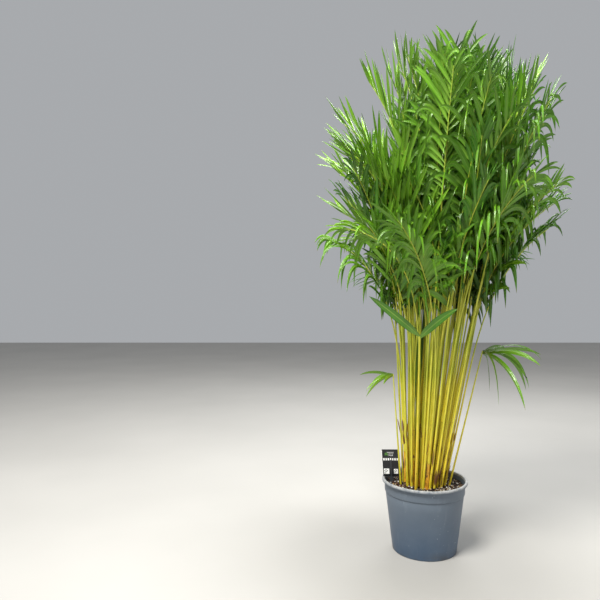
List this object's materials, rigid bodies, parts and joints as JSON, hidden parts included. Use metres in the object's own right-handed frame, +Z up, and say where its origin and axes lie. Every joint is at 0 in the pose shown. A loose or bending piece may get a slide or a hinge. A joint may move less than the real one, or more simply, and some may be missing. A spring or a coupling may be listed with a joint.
{
  "type": "potted areca palm",
  "caption": "Tall feather-leaved palm: a clump of slim golden canes with arching green fronds, in a tapered grey nursery pot of soil with a plant label.",
  "frame": {"origin": "on the floor, at the centre of the pot's underside", "axes": "+Z up along the pot's axis, +X to the side the clump leans to, -Y to the front"},
  "size_m": [0.7591, 0.6584, 1.5009],
  "materials": {
    "pot_plastic": "satin",
    "peat_soil": "matte, loose and fibrous",
    "cane_skin": "smooth, waxy",
    "leaf_green": "waxy, slightly glossy",
    "label_plastic": "satin, printed"
  },
  "bodies": {
    "root": {"pot": "pot_plastic", "potting_soil": "peat_soil", "plant_label": "label_plastic", "cane_01": "cane_skin", "cane_02": "cane_skin", "cane_03": "cane_skin", "cane_04": "cane_skin", "cane_05": "cane_skin", "cane_06": "cane_skin", "cane_07": "cane_skin", "cane_08": "cane_skin", "cane_09": "cane_skin", "cane_10": "cane_skin", "cane_11": "cane_skin", "cane_12": "cane_skin", "cane_13": "cane_skin", "cane_14": "cane_skin", "cane_15": "cane_skin", "cane_16": "cane_skin", "cane_17": "cane_skin", "cane_18": "cane_skin", "seedling_front": "leaf_green", "seedling_right": "leaf_green", "seedling_left": "leaf_green", "frond_01": "leaf_green", "frond_02": "leaf_green", "frond_03": "leaf_green", "frond_04": "leaf_green", "frond_05": "leaf_green", "frond_06": "leaf_green", "frond_07": "leaf_green", "frond_08": "leaf_green", "frond_09": "leaf_green", "frond_10": "leaf_green", "frond_11": "leaf_green", "frond_12": "leaf_green", "frond_13": "leaf_green", "frond_14": "leaf_green", "frond_15": "leaf_green", "frond_16": "leaf_green", "frond_17": "leaf_green", "frond_18": "leaf_green", "frond_19": "leaf_green", "frond_20": "leaf_green", "frond_21": "leaf_green", "frond_22": "leaf_green", "frond_23": "leaf_green", "frond_24": "leaf_green", "frond_25": "leaf_green", "frond_26": "leaf_green", "frond_27": "leaf_green", "frond_28": "leaf_green", "frond_29": "leaf_green", "frond_30": "leaf_green", "frond_31": "leaf_green", "frond_32": "leaf_green", "frond_33": "leaf_green", "frond_34": "leaf_green", "frond_35": "leaf_green", "frond_36": "leaf_green"}
  },
  "joints": []
}
